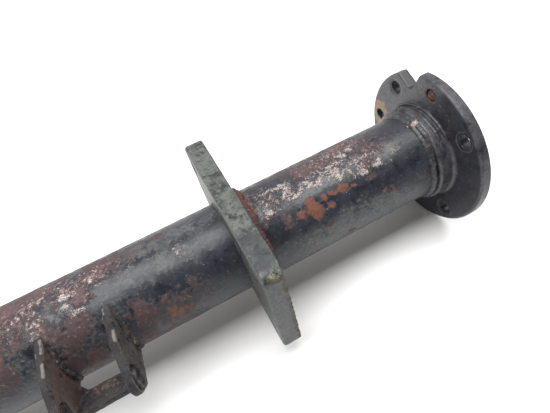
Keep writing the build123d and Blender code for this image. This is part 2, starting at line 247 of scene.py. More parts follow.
# ------------------------------------------------------------------------------ material nodes
class Nodes:
    """Short hands for building one material's node tree."""

    def __init__(self, name):
        self.material = bpy.data.materials.new(name)
        self.material.use_nodes = True
        self.tree = self.material.node_tree
        self.tree.nodes.clear()
        out = self.tree.nodes.new("ShaderNodeOutputMaterial")
        self.bsdf = self.tree.nodes.new("ShaderNodeBsdfPrincipled")
        self.join(self.bsdf.outputs["BSDF"], out.inputs["Surface"])
        self.place = self.tree.nodes.new("ShaderNodeTexCoord").outputs["Object"]

    def join(self, source, target):
        """Link a socket to an input, or set the input to a plain value."""
        if isinstance(source, bpy.types.NodeSocket):
            self.tree.links.new(source, target)
        else:
            target.default_value = source

    def noise(self, scale, detail=4.0, rough=0.6, distort=0.0, vector=None):
        """Noise within 0..1, with about `scale` lumps to the metre."""
        n = self.tree.nodes.new("ShaderNodeTexNoise")
        self.join(vector or self.place, n.inputs["Vector"])
        n.inputs["Scale"].default_value = scale
        n.inputs["Detail"].default_value = detail
        n.inputs["Roughness"].default_value = rough
        n.inputs["Distortion"].default_value = distort
        return n.outputs["Fac"]

    def math(self, kind, a, b, clamp=False):
        """A sum, product or the like of two sockets or plain values."""
        n = self.tree.nodes.new("ShaderNodeMath")
        n.operation = kind
        n.use_clamp = clamp
        self.join(a, n.inputs[0])
        self.join(b, n.inputs[1])
        return n.outputs[0]

    def plus(self, a, b, clamp=False):
        return self.math("ADD", a, b, clamp)

    def minus(self, a, b):
        return self.math("SUBTRACT", a, b)

    def times(self, a, b):
        return self.math("MULTIPLY", a, b)

    def most(self, a, b):
        return self.math("MAXIMUM", a, b)

    def ramp(self, value, low, high, to_low=0.0, to_high=1.0):
        """`to_low` where the value is `low`, `to_high` where it is `high`, smooth between them."""
        n = self.tree.nodes.new("ShaderNodeMapRange")
        n.interpolation_type = "SMOOTHSTEP"
        for v, key in ((value, "Value"), (low, "From Min"), (high, "From Max"),
                       (to_low, "To Min"), (to_high, "To Max")):
            self.join(v, n.inputs[key])
        return n.outputs["Result"]

    def mix(self, factor, a, b):
        """Colour `a` where `factor` is 0, colour `b` where it is 1."""
        n = self.tree.nodes.new("ShaderNodeMix")
        n.data_type = "RGBA"
        self.join(factor, n.inputs[0])
        self.join(a, n.inputs[6])
        self.join(b, n.inputs[7])
        return n.outputs[2]

    def broken(self, density, noise, gain, soft):
        """Mask that covers about `density` of the surface, with edges torn by the noise."""
        shifted = self.plus(density, self.times(self.minus(noise, 0.5), gain))
        return self.ramp(shifted, 0.5 - soft, 0.5 + soft)

    def squeezed(self, x, y, z):
        """The place, scaled by its own factor along each axis."""
        n = self.tree.nodes.new("ShaderNodeMapping")
        self.join(self.place, n.inputs["Vector"])
        n.inputs["Scale"].default_value = (x, y, z)
        return n.outputs["Vector"]

    def wear(self):
        """The four wear densities painted on the mesh."""
        n = self.tree.nodes.new("ShaderNodeAttribute")
        n.attribute_name = WEAR
        split = self.tree.nodes.new("ShaderNodeSeparateColor")
        self.join(n.outputs["Color"], split.inputs[0])
        return split.outputs[0], split.outputs[1], split.outputs[2], n.outputs["Alpha"]

    def bump(self, height, distance, strength):
        """Normal of a surface that stands out `distance` metres for each unit of height."""
        n = self.tree.nodes.new("ShaderNodeBump")
        self.join(height, n.inputs["Height"])
        n.inputs["Distance"].default_value = distance
        n.inputs["Strength"].default_value = strength
        return n.outputs["Normal"]

    def surface(self, colour, rough, metal, normal, gloss=0.5):
        """Finish the material."""
        self.join(colour, self.bsdf.inputs["Base Color"])
        self.join(rough, self.bsdf.inputs["Roughness"])
        self.join(metal, self.bsdf.inputs["Metallic"])
        self.join(normal, self.bsdf.inputs["Normal"])
        self.bsdf.inputs["Specular IOR Level"].default_value = gloss
        return self.material


def rgb(r, g, b):
    """An opaque colour."""
    return (r, g, b, 1.0)


def tinted(colour, r, g, b):
    """A colour with each of its parts multiplied."""
    return rgb(r * colour[0], g * colour[1], b * colour[2])


# ------------------------------------------------------------------------------ worn paint
MAROON_RUST = (rgb(0.086, 0.048, 0.051), rgb(0.048, 0.030, 0.032))
RUST_BLOOM, RUST_PIT = rgb(0.155, 0.112, 0.112), rgb(0.020, 0.014, 0.014)
ORANGE_RUST = (rgb(0.200, 0.068, 0.036), rgb(0.105, 0.042, 0.030))
PINK_FLAKES = (rgb(0.200, 0.155, 0.145), rgb(0.500, 0.440, 0.420))
ORANGE_GUARD = 0.15                # taken off the orange density, so that noise alone makes no specks


def worn_paint(name, dark, light, paint_rough, bare=rgb(0.220, 0.220, 0.215), bare_metal=0.7,
               maroon=MAROON_RUST, flake=PINK_FLAKES, lumps=1.0, gloss=0.44, drift=1.0):
    """Satin paint under the wear densities that the mesh carries, broken up at every scale."""
    n = Nodes(name)
    red, hot, pale, edge = n.wear()
    cloud = n.noise(30, 5, 0.6)
    mottle = n.noise(110, 8, 0.68, 0.4)
    speck = n.noise(330, 8, 0.72)
    grit = n.noise(950, 5, 0.7)
    coarse = n.times(n.plus(mottle, speck), 0.5)
    small = n.times(n.plus(speck, grit), 0.5)

    red_mask = n.broken(n.most(red, n.times(hot, 1.15)), coarse, gain=3.2, soft=0.20)
    hot_mask = n.broken(n.minus(hot, ORANGE_GUARD), coarse, gain=4.2, soft=0.25)
    pale_mask = n.broken(pale, small, gain=3.6, soft=0.22)
    bare_mask = n.broken(edge, coarse, gain=3.0, soft=0.30)

    base = n.mix(n.ramp(cloud, 0.34, 0.66), dark, light)
    base = n.mix(n.ramp(speck, 0.56, 0.74, 0.0, 0.5), base, tinted(light, 3.0, 3.0, 3.0))
    base = n.mix(n.ramp(mottle, 0.50, 0.36, 0.0, 0.7), base, tinted(dark, 0.45, 0.45, 0.45))
    greenish = n.ramp(n.noise(24, 4, 0.6), 0.42, 0.58, 0.0, drift)
    worn = n.mix(greenish, bare, tinted(bare, 1.03, 1.04, 0.86))
    rust = n.mix(n.ramp(cloud, 0.36, 0.64), *maroon)
    rust = n.mix(n.ramp(speck, 0.52, 0.70, 0.0, 0.65), rust, RUST_BLOOM)
    rust = n.mix(n.ramp(grit, 0.46, 0.34, 0.0, 0.5), rust, RUST_PIT)
    ember = n.mix(n.ramp(speck, 0.38, 0.62), *ORANGE_RUST)
    flakes = n.mix(n.ramp(grit, 0.40, 0.62), *flake)
    colour = n.mix(bare_mask, base, worn)
    colour = n.mix(red_mask, colour, rust)
    colour = n.mix(hot_mask, colour, ember)
    colour = n.mix(pale_mask, colour, flakes)

    crust = n.most(n.most(red_mask, hot_mask), pale_mask)
    rough = n.plus(paint_rough, n.times(n.minus(mottle, 0.5), 0.5))
    rough = n.plus(rough, n.times(crust, 0.26), clamp=True)
    metal = n.times(n.times(bare_mask, bare_metal), n.minus(1.0, crust))
    small_height = n.times(n.plus(speck, n.times(grit, 0.4)), n.plus(0.35, n.times(crust, 0.6)))
    height = n.plus(n.plus(n.times(crust, 0.16), n.times(mottle, 0.8)), small_height)
    return n.surface(colour, rough, metal, n.bump(height, 0.0006 * lumps, 0.9), gloss)


TUBE_PAINT = worn_paint("tube_paint", rgb(0.016, 0.019, 0.026), rgb(0.028, 0.032, 0.041), 0.36,
                        bare=rgb(0.092, 0.098, 0.108), bare_metal=0.0, gloss=0.40)
FLANGE_PAINT = worn_paint("flange_paint", rgb(0.021, 0.022, 0.029), rgb(0.031, 0.033, 0.042), 0.38,
                          bare=rgb(0.080, 0.080, 0.088), bare_metal=0.2, lumps=0.35, drift=0.0,
                          flake=(rgb(0.250, 0.165, 0.095), rgb(0.330, 0.270, 0.190)))
PLATE_PAINT = worn_paint("plate_paint", rgb(0.025, 0.029, 0.032), rgb(0.040, 0.046, 0.048), 0.45,
                         bare=rgb(0.130, 0.141, 0.136), bare_metal=0.3, lumps=0.6, drift=0.6,
                         maroon=(rgb(0.085, 0.068, 0.045), rgb(0.055, 0.046, 0.034)),
                         flake=(rgb(0.200, 0.190, 0.130), rgb(0.300, 0.290, 0.220)))
BRACKET_PAINT = worn_paint("bracket_paint", rgb(0.025, 0.024, 0.028), rgb(0.046, 0.044, 0.045), 0.58,
                           bare=rgb(0.165, 0.157, 0.158), bare_metal=0.3, lumps=1.6, gloss=0.18,
                           maroon=(rgb(0.108, 0.072, 0.066), rgb(0.112, 0.094, 0.080)), drift=0.5)
WELD_PAINT = worn_paint("weld_paint", rgb(0.023, 0.025, 0.030), rgb(0.036, 0.038, 0.043), 0.34,
                        bare=rgb(0.095, 0.095, 0.100), bare_metal=0.2)
PLATE_WELD_RUST = worn_paint("plate_weld_rust", rgb(0.085, 0.042, 0.036), rgb(0.110, 0.055, 0.042), 0.62,
                             maroon=(rgb(0.115, 0.046, 0.037), rgb(0.078, 0.036, 0.032)), lumps=0.6)
RUST = worn_paint("stud_rust", rgb(0.085, 0.046, 0.033), rgb(0.130, 0.070, 0.048), 0.80,
                  maroon=(rgb(0.080, 0.045, 0.035), rgb(0.050, 0.032, 0.025)))


# ------------------------------------------------------------------------------ plain materials
def turned_metal(name, colour, rough, lines=1400.0, oil=0.3):
    """Machined metal with fine tool marks round the X axis and thin oil stains."""
    n = Nodes(name)
    marks = n.noise(1.0, 3, 0.6, vector=n.squeezed(lines, 6, 6))
    stain = n.ramp(n.noise(45, 5, 0.6), 0.5, 0.72, 0.0, oil)
    shade = n.mix(stain, colour, tinted(colour, 0.40, 0.33, 0.24))
    roughness = n.plus(rough, n.times(n.minus(marks, 0.5), 0.25))
    roughness = n.plus(roughness, n.times(stain, 0.5), clamp=True)
    return n.surface(shade, roughness, 1.0, n.bump(marks, 0.00006, 0.6))


def rubber(name):
    """Black rubber with a dull bloom."""
    n = Nodes(name)
    bloom = n.ramp(n.noise(120, 5, 0.6), 0.45, 0.7, 0.0, 0.5)
    colour = n.mix(bloom, rgb(0.018, 0.018, 0.018), rgb(0.060, 0.055, 0.050))
    return n.surface(colour, n.ramp(bloom, 0, 1, 0.5, 0.75), 0.0, n.bump(n.noise(700, 3), 0.0001, 0.5))


def table_top():
    """Pale, even board for the floor."""
    n = Nodes("table_top")
    colour = n.mix(n.ramp(n.noise(2.5, 3), 0.3, 0.7), rgb(0.930, 0.930, 0.925), rgb(0.910, 0.905, 0.900))
    return n.surface(colour, 0.55, 0.0, n.bump(n.noise(60, 3), 0.0001, 0.2))


SHAFT_STEEL = turned_metal("shaft_steel", rgb(0.50, 0.49, 0.47), 0.28)
BEARING_STEEL = turned_metal("bearing_steel", rgb(0.62, 0.62, 0.63), 0.12, 2500, 0.1)
PLAIN_STEEL = turned_metal("plain_steel", rgb(0.40, 0.40, 0.40), 0.38, 900)
CAGE_BRASS = turned_metal("cage_brass", rgb(0.62, 0.44, 0.18), 0.30, 900, 0.2)
SEAL_RUBBER = rubber("seal_rubber")


def dress(piece, material):
    """Give a new piece its material."""
    piece.data.materials.clear()
    piece.data.materials.append(material)


def coat_node(node, material):
    """Give a CAD node its material."""
    obj = NODES[node]
    if obj.material_slots:
        for s in obj.material_slots:
            s.material = material
    else:
        obj.data.materials.append(material)


# ------------------------------------------------------------------------------ the tube's skin
# patches on the tube: (x in mm, degrees from +Y, half length in mm, half width in degrees, strength);
# where two of a kind overlap, the stronger one counts
MAROON = [
    (-432, 68, 72, 26, 1.0), (-345, 72, 24, 22, 1.0), (-366, 96, 11, 24, 0.9), (-425, 105, 20, 20, 0.75),
    (-382, 134, 21, 22, 1.0), (-384, 174, 21, 27, 0.95), (-326, 150, 11, 19, 1.0), (-278, 144, 7, 7, 0.8),
    (-335, 180, 16, 22, 0.7), (-303, 150, 14, 12, 0.6), (-135, 80, 38, 15, 1.0), (-104, 72, 26, 16, 1.0),
    (-84, 92, 14, 17, 0.78), (-57, 111, 7, 6, 0.7), (-92, 114, 9, 7, 0.9), (-184, 95, 14, 11, 0.62),
    (-185, 134, 7, 9, 0.85), (-198, 118, 9, 9, 0.85), (-92, 127, 10, 7, 0.7), (-148, 160, 3, 5, 0.9),
    (-154, 171, 3, 4, 0.6), (-40, 164, 3, 4, 0.95), (-205, 85, 5, 24, 0.75), (-438, 146, 10, 18, 1.0),
    (-130, 66, 72, 26, 0.66), (-180, 100, 24, 22, 0.60), (-425, 88, 62, 40, 0.70), (-310, 76, 44, 26, 0.42),
    (-300, 160, 38, 24, 0.60), (-110, 175, 60, 22, 0.22), (-150, 60, 50, 10, 0.5), (-500, 120, 60, 60, 0.7),
    (-310, 200, 44, 18, 0.58), (-70, 98, 20, 14, 0.5)]
ORANGE = [
    (-34, 93, 2, 3, 0.8), (-168, 131, 5, 8, 0.85), (-156, 137, 8, 9, 0.95), (-158, 126, 5, 6, 0.9),
    (-144, 128, 4, 5, 0.95), (-133, 128, 5, 4, 0.9), (-122, 127, 6, 7, 0.88), (-140, 141, 4, 5, 0.95),
    (-112, 130, 3, 3, 0.7), (-86, 154, 3, 4, 0.95), (-77, 156, 3, 5, 0.75), (-89, 125, 2, 2, 0.7),
    (-300, 170, 15, 14, 0.70), (-126, 191, 6, 6, 0.5), (-401, 112, 3, 14, 0.5), (-207, 100, 3, 32, 0.6),
    (-437, 122, 6, 12, 0.62)]
# the first pale spot, by the flange weld, is pale flecks with a painted highlight
PALE = [
    (-33, 98, 4, 5, 0.85), (-184, 88, 10, 5, 0.66), (-174, 87, 6, 5, 0.66), (-170, 95, 6, 6, 0.74),
    (-194, 113, 6, 6, 0.76), (-164, 105, 6, 4, 0.86), (-174, 104, 7, 6, 0.58), (-148, 104, 9, 6, 0.86),
    (-155, 100, 5, 5, 0.66), (-141, 103, 6, 5, 0.86), (-145, 109, 7, 4, 0.64), (-122, 99, 6, 10, 0.72),
    (-121, 109, 7, 6, 0.74), (-109, 90, 6, 5, 0.68), (-131, 110, 4, 4, 0.64), (-103, 106, 4, 5, 0.76),
    (-97, 107, 5, 6, 0.74), (-100, 115, 5, 4, 0.76), (-110, 114, 3, 4, 0.76), (-84, 115, 6, 5, 0.86),
    (-72, 119, 4, 3, 0.64), (-98, 83, 6, 5, 0.55), (-60, 113, 8, 8, 0.50), (-377, 92, 4, 6, 0.95),
    (-380, 107, 4, 5, 0.92), (-371, 117, 8, 6, 0.66), (-352, 85, 4, 5, 0.62), (-346, 99, 5, 3, 0.58),
    (-405, 106, 10, 16, 0.38), (-415, 90, 14, 9, 0.35), (-279, 105, 8, 8, 0.50), (-278, 114, 5, 6, 0.45),
    (-132, 103, 76, 13, 0.43), (-188, 102, 18, 22, 0.36), (-425, 92, 36, 24, 0.22),
    (-380, 84, 50, 18, 0.32), (-300, 104, 66, 14, 0.20), (-110, 76, 50, 14, 0.30)]
CHALK = [
    (-298, 106, 66, 17, 0.41), (-391, 99, 9, 14, 0.70), (-196, 108, 10, 14, 0.80), (-150, 113, 50, 9, 0.62),
    (-70, 107, 24, 12, 0.60), (-120, 111, 30, 6, 0.5), (-340, 190, 60, 20, 0.3), (-118, 172, 84, 20, 0.52),
    (-405, 112, 12, 14, 0.6), (-298, 82, 72, 13, 0.52), (-300, 168, 40, 20, 0.36),
    (-395, 128, 75, 60, 0.40)]
SKIN_PITCH = 0.95 * MM             # spacing of the skin's grid
SKIN_ENDS = 0.006                  # the skin lies flat towards both ends, to meet the hubs
WEEP_HOLE_X, WEEP_HOLE_DEG, WEEP_HOLE_R = -385.5, 127.0, 1.8      # mm, degrees, mm
WEEP_HOLE_CLOG = 1.2               # mm down to the rust that fills it


def patch_field(x, angle, patches):
    """Highest of several soft oval patches."""
    field = np.zeros_like(x)
    for px, pa, lx, la, strength in patches:
        r = np.hypot((x / MM - px) / lx, (angle - pa) / la)
        field = np.maximum(field, strength * (1 - smoothstep(0.30, 1.60, r)))
    return field


def skin_wear(points, x, angle):
    """Maroon, orange, pale and chalk densities on the tube, and how far its face is lifted, in mm."""
    big = fractal(points, 0.030, 4, 3)
    mid = fractal(points, 0.009, 4, 8)
    fine = fractal(points, 0.0032, 3, 15)
    swing = fractal(points, 0.012, 3, 21)
    near_x, near_angle = x + 0.0035 * mid + 0.0020 * fine, angle + 5 * swing + 3 * fine
    far_x, far_angle = x + 0.0070 * mid, angle + 11 * swing
    unseen = smoothstep(218, 232, angle) + 1 - smoothstep(28, 44, angle)
    maroon = np.maximum(patch_field(far_x, far_angle, MAROON), unseen * smoothstep(0.0, 0.5, big) * 0.9)
    maroon = 0.86 * maroon + 0.40 * mid * smoothstep(0.1, 0.4, maroon)
    orange = np.maximum(patch_field(near_x, near_angle, ORANGE), unseen * smoothstep(0.35, 0.6, mid) * 0.5)
    orange = 1.05 * orange + 0.55 * fine * smoothstep(0.1, 0.4, orange)
    pale = patch_field(far_x, far_angle, PALE)
    pale = 0.84 * pale + 0.35 * fine * smoothstep(0.1, 0.4, pale)
    chalk = patch_field(far_x, far_angle, CHALK)
    crust = np.clip(np.maximum(maroon, orange) + 0.5 * mid, 0, 1)
    lift = 0.12 * big + 0.06 * mid + crust * (0.14 + 0.34 * mid + 0.22 * fine) + 0.20 * pale * (0.6 + fine)
    lift -= 0.30 * smoothstep(0.30, 0.7, -mid) * crust
    return maroon, orange, pale, chalk, lift


def skin_faces(rows, cols):
    """Quads of the outer grid, then the two end rings and the bore between them."""
    i = np.arange(cols - 1)[:, None] * rows
    j = np.arange(rows)[None, :]
    k = (j + 1) % rows
    faces = np.stack([i + k, i + rows + k, i + rows + j, i + j], -1).reshape(-1, 4).tolist()
    bore = cols * rows
    last = (cols - 1) * rows
    for a in range(rows):
        b = (a + 1) % rows
        faces.append((a, b, bore + b, bore + a))
        faces.append((last + b, last + a, bore + rows + a, bore + rows + b))
        faces.append((bore + a, bore + b, bore + rows + b, bore + rows + a))
    return faces


def tube_skin():
    """The tube as one fine grid round its axis, pitted and blistered where it has rusted."""
    rows = int(tau * TUBE_R / SKIN_PITCH)
    cols = int((TUBE_HIGH[0] - TUBE_LOW[0]) / SKIN_PITCH)
    theta = np.arange(rows) * tau / rows
    x, turn = np.meshgrid(np.linspace(TUBE_LOW[0], TUBE_HIGH[0], cols), theta, indexing="ij")
    x, turn = x.ravel(), turn.ravel()
    angle = (np.degrees(turn) + 90) % 360 - 90
    even = np.stack([x, TUBE_R * np.cos(turn), TUBE_R * np.sin(turn)], 1)
    maroon, orange, pale, chalk, lift = skin_wear(even, x, angle)

    ends = smoothstep(0, SKIN_ENDS, x - TUBE_LOW[0]) * smoothstep(0, SKIN_ENDS, TUBE_HIGH[0] - x)
    r = TUBE_R + lift * MM * ends
    from_weep = np.hypot(x / MM - WEEP_HOLE_X, (angle - WEEP_HOLE_DEG) * radians(1) * TUBE_R / MM)
    r = np.where(from_weep < WEEP_HOLE_R, r - WEEP_HOLE_CLOG * MM, r)
    outer = np.stack([x, r * np.cos(turn), r * np.sin(turn)], 1)
    bore_r = TUBE_R - TUBE_WALL
    bore = [(end, bore_r * cos(t), bore_r * sin(t)) for end in (TUBE_LOW[0], TUBE_HIGH[0]) for t in theta]
    points = np.concatenate([outer, np.array(bore)])
    piece = new_piece("tube_skin", points.tolist(), skin_faces(rows, cols))

    clean = np.zeros(2 * rows)
    paint_wear(piece, np.concatenate([maroon, clean + 0.8]), np.concatenate([orange, clean]),
               np.concatenate([pale, clean]), np.concatenate([chalk, clean]))
    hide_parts("housing_tube")
    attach(piece, HOUSING)
    return piece


# ------------------------------------------------------------------------------ weld beads
HUB_WELD_FLECK_AND_GLINT = on_circle(-28.0, 97.0, 47.5)      # pale spot on the flange weld, in mm: pale flecks with a painted highlight
BEAD_STEP = 0.40 * MM
BEAD_RING = 16                     # points round a bead's section


def bead_faces(steps, closed):
    """Quads along a bead; an open bead gets a cap at each end."""
    faces = []
    for step in range(steps if closed else steps - 1):
        after = (step + 1) % steps
        for k in range(BEAD_RING):
            m = (k + 1) % BEAD_RING
            faces.append((step * BEAD_RING + k, after * BEAD_RING + k,
                          after * BEAD_RING + m, step * BEAD_RING + m))
    if not closed:
        faces.append(tuple(range(BEAD_RING)))
        faces.append(tuple((steps - 1) * BEAD_RING + k for k in reversed(range(BEAD_RING))))
    return faces


def weld_bead(name, x, reach, size, ripple, seed, start=0.0, sweep=360.0, height=1.0, rust=0.4,
              flecks=0.15):
    """A rippled bead round the tube, `reach` from the axis; `ripple` is the wave length in mm."""
    closed = sweep >= 360.0
    length = radians(sweep) * reach
    steps = max(24, int(length / BEAD_STEP))
    t = np.arange(steps + (0 if closed else 1)) / steps
    along = t * length
    theta = radians(start) + t * radians(sweep)
    path = np.stack([np.full_like(t, x), reach * np.cos(theta), reach * np.sin(theta)], 1)
    wander = fractal(path, 0.012, 3, seed)
    phase = along / (ripple * MM) + 2.2 * fractal(path, 0.010, 3, seed + 3)
    scallop = 1 - np.abs((phase % 1.0) * 2 - 1) ** 2
    fat = size * (0.92 + 0.09 * scallop + 0.22 * wander)
    if not closed:
        fat = fat * np.sqrt(np.clip(np.minimum(t, 1 - t) * 14, 0.05, 1))
    verts = []
    for step in range(len(t)):
        for k in range(BEAD_RING):
            a = tau * k / BEAD_RING
            r = reach + height * fat[step] * cos(a)
            side = fat[step] * sin(a) + size * (0.30 * wander[step] + 0.12 * scallop[step] * cos(a))
            verts.append((x + side, r * cos(theta[step]), r * sin(theta[step])))
    piece = new_piece(name, verts, bead_faces(len(t), closed))

    co, no = positions(piece.data), normals(piece.data)
    fine = fractal(co, 0.003, 3, seed + 5)
    set_positions(piece.data, co + no * (fine * 0.15 * MM)[:, None])
    mid = fractal(co, 0.014, 3, seed + 6)
    # pale flecks round one spot on the flange weld, which also serve as a painted highlight
    patch = near_spot(co, *HUB_WELD_FLECK_AND_GLINT, 4.5)
    paint_wear(piece, rust + 0.6 * mid, flecks + 0.7 * fractal(co, 0.02, 3, seed + 8),
               np.maximum(flecks + 0.4 * fine, 0.95 * patch), 0.25 + 0.5 * fine)
    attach(piece, HOUSING)
    return piece


# ------------------------------------------------------------------------------ wear of flange, plate, ears
# end flange: distances from the axis and x in mm, angles in degrees
HOLE_CIRCLE = 69.85
BOLT_HOLES = (47.5, 137.5, 227.5, 317.5)
JACKING_HOLE = 2.5
STUD = on_circle(-11, 92.5, 70)    # the sheared screw, which has rusted the disc round it
HUB_STAIN = on_circle(-20, 120, 50)
RIM = (81.0, 83.0)                 # distance over which the rim's wear fades in
COLLAR = (51.0, 54.0)              # distance over which the hub collar's wear fades out
COLLAR_END = (-12.5, -10.5)        # x over which it fades out
SEAT = (8.6, 9.4)                  # edge of a bolt hole's spotface
LIP_INSIDE, LIP_OUTSIDE = (8.8, 9.6), (10.2, 11.0)

# mounting plate: its battered corner in mm, and where the smooth stretch of its upper edge starts and
# ends, as distances from the middle towards -Y
PLATE_CORNER = (-221.5, -88.6, 61.1)
AROUND_CORNER = (-222, -88, 61)
SMOOTH_FROM, SMOOTH_TO = (0.035, 0.050), (0.079, 0.085)

# bright chipped spots along the ears' upper edges, the last one a painted highlight on the tail-side ear:
# x, then degrees and distance from the axis at both ends, then the half width; mm and degrees
EAR_CHIPS_AND_GLINT = [(-347.8, 142.8, 65.0, 146.5, 71.0, 2.3), (-352.8, 126.0, 47.0, 130.0, 50.5, 1.8),
             (-403.2, 125.0, 46.8, 134.5, 54.0, 2.3), (-403.2, 141.5, 62.5, 145.5, 70.0, 2.6),
             # painted highlight: this last spot stands for a glint on the tail-side ear's outer border
             (-408.8, 134.5, 54.0, 135.5, 55.0, 2.2)]


def flange_wear(co, no, big, fine):
    """Painted reflection as a lighter sector of the near face, bare rings round the bolt holes, a tan stain
    round the jacking hole.
    """
    angle = np.degrees(np.arctan2(co[:, 2], co[:, 1]))
    reach = np.hypot(co[:, 1], co[:, 2]) / MM
    near_face = smoothstep(0.5, 0.9, -no[:, 0])
    rim = smoothstep(*RIM, reach)
    collar = (1 - smoothstep(*COLLAR_END, co[:, 0] / MM)) * (1 - smoothstep(*COLLAR, reach))
    # painted reflection: a sector of the near face made lighter with bare grey and a little maroon
    painted_reflection_sector = near_face * smoothstep(-45, -10, angle) * (1 - smoothstep(82, 122, angle))
    from_hole = away_from(co, on_circle(0, JACKING_HOLE, HOLE_CIRCLE))
    stain = smoothstep(5.5, 7.5, from_hole) * (1 - smoothstep(13.0, 21.0, from_hole + 6 * fine))

    red = np.maximum(0.12 * painted_reflection_sector + 0.1 * fine * near_face, 0.30 * near_spot(co, *HUB_STAIN, 24))
    red = np.maximum(red, 0.45 * near_spot(co, *STUD, 12))
    hot = np.maximum(0.25 * stain * near_face, 0.36 * near_spot(co, *STUD, 8))
    pale = np.maximum(collar * (0.10 + 0.4 * big), near_face * stain * 0.78)
    bare = np.maximum(0.60 * painted_reflection_sector, rim * smoothstep(-30, 50, angle) * (0.45 + 0.2 * big))
    bare = np.maximum(bare, collar * (0.62 + 0.3 * big))
    for degrees in BOLT_HOLES:
        from_bolt = away_from(co, on_circle(0, degrees, HOLE_CIRCLE))
        seat = near_face * (1 - smoothstep(*SEAT, from_bolt))
        lip = near_face * smoothstep(*LIP_INSIDE, from_bolt) * (1 - smoothstep(*LIP_OUTSIDE, from_bolt))
        bare = np.maximum(bare * (1 - 0.7 * seat), lip * (0.75 + 0.3 * fine))
    return red, hot, pale, bare


def plate_wear(co, no, big, fine):
    """Mottled grey, a smooth dark stretch on the upper edge, rust where the flame-cut edge ends."""
    x, y, z = co.T
    upper_edge = smoothstep(PLATE_HIGH[2] - 0.004, PLATE_HIGH[2] - 0.001, z)
    cut_edge = smoothstep(PLATE_HIGH[1] - 0.004, PLATE_HIGH[1] - 0.001, -y)
    smooth = upper_edge * smoothstep(*SMOOTH_FROM, -y) * (1 - smoothstep(*SMOOTH_TO, -y))
    # a thin bare line along the upper tail-side edge: edge wear, and partly a painted highlight of the
    # rounded edge
    wear_and_highlight_line = smoothstep(PLATE_LOW[0] + 0.0010, PLATE_LOW[0] + 0.0005, x)
    wear_and_highlight_line = wear_and_highlight_line * smoothstep(PLATE_HIGH[2] - 0.0075, PLATE_HIGH[2] - 0.0050, z)
    flange_side = smoothstep(PLATE_X + 0.002, PLATE_X + 0.008, x)
    red = np.maximum(0.14 + 0.35 * big, cut_edge * flange_side * (0.55 + 0.6 * fine))
    red = np.maximum(red, 0.50 * near_spot(co, *AROUND_CORNER, 11))
    red = np.where(smooth > 0.5, 0.05, red)
    pale = np.maximum(0.02 + 0.15 * fine, 0.44 * near_spot(co, *PLATE_CORNER, 6.5))
    bare = 0.50 + 0.28 * big - 0.17 * cut_edge - 0.46 * smooth
    bare = np.maximum(bare, wear_and_highlight_line * (0.9 + 0.8 * fine))
    return red, 0.0, pale, bare


def ear_wear(co, no, big, fine):
    """Brown inner faces, bright chipped spots on the upper edges; painted light on faces turned from the
    lamp, painted shade on the edges, one painted highlight.
    """
    # painted light and shade: faces turned to +X or -X get bare grey as painted light, and the edges
    # between them get less of it as painted shade; the inner faces also carry real brown rust
    inner_face_rust_and_painted_light = smoothstep(0.4, 0.9, no[:, 0] * np.sign(BETWEEN_EARS_X - co[:, 0]))
    edge_face_painted_shade = 1 - smoothstep(0.3, 0.6, np.abs(no[:, 0]))
    outer_face_painted_light = (1 - edge_face_painted_shade) * (1 - inner_face_rust_and_painted_light)
    chips_and_glint = 0.0
    for x, deg_a, reach_a, deg_b, reach_b, half_width in EAR_CHIPS_AND_GLINT:
        stroke = near_streak(co, on_circle(x, deg_a, reach_a), on_circle(x, deg_b, reach_b), half_width)
        chips_and_glint = np.maximum(chips_and_glint, stroke * (0.68 + 0.4 * fine))
    red = 0.30 + 0.5 * big + 0.50 * inner_face_rust_and_painted_light - 0.1 * edge_face_painted_shade - chips_and_glint
    hot = 0.10 + 0.3 * inner_face_rust_and_painted_light * big
    pale = 0.12 * chips_and_glint - 0.2 * edge_face_painted_shade
    bare = 0.50 * outer_face_painted_light + inner_face_rust_and_painted_light * (0.34 + 0.5 * big) + chips_and_glint + 0.4 * edge_face_painted_shade * np.maximum(big, 0)
    return red, hot, pale, bare


def even_wear(red, hot=0.1, pale=0.1, bare=0.1):
    """Wear that is the same all over but for drifting noise."""
    def wear(co, no, big, fine):
        return red + 0.6 * big, hot + 0.5 * big, pale + 0.3 * fine, bare + 0.3 * fine
    return wear


# ------------------------------------------------------------------------------ build the looks
def torch_cut(plate):
    """Wavy drag lines along the plate's -Y edge, deepest where the flame came out."""
    co = positions(plate.data)
    near = smoothstep(PLATE_HIGH[1] - 0.0055, PLATE_HIGH[1] - 0.0010, -co[:, 1])
    through = smoothstep(PLATE_X + 0.0015, PLATE_X + 0.0095, co[:, 0])
    slanted = co[:, 2] + 0.15 * (co[:, 0] - PLATE_X)
    along = np.stack([np.zeros(len(co)), np.zeros(len(co)), slanted], 1)
    drag = fractal(along, 0.0042, 3, 44)
    scallop = np.abs(fractal(along, 0.0085, 2, 47))
    co[:, 1] += near * (0.15 + 0.85 * through) * (0.4 + 0.5 * drag) * 0.45 * MM
    co[:, 0] -= near * through * (0.1 + 2.2 * scallop) * 1.3 * MM
    set_positions(plate.data, co)


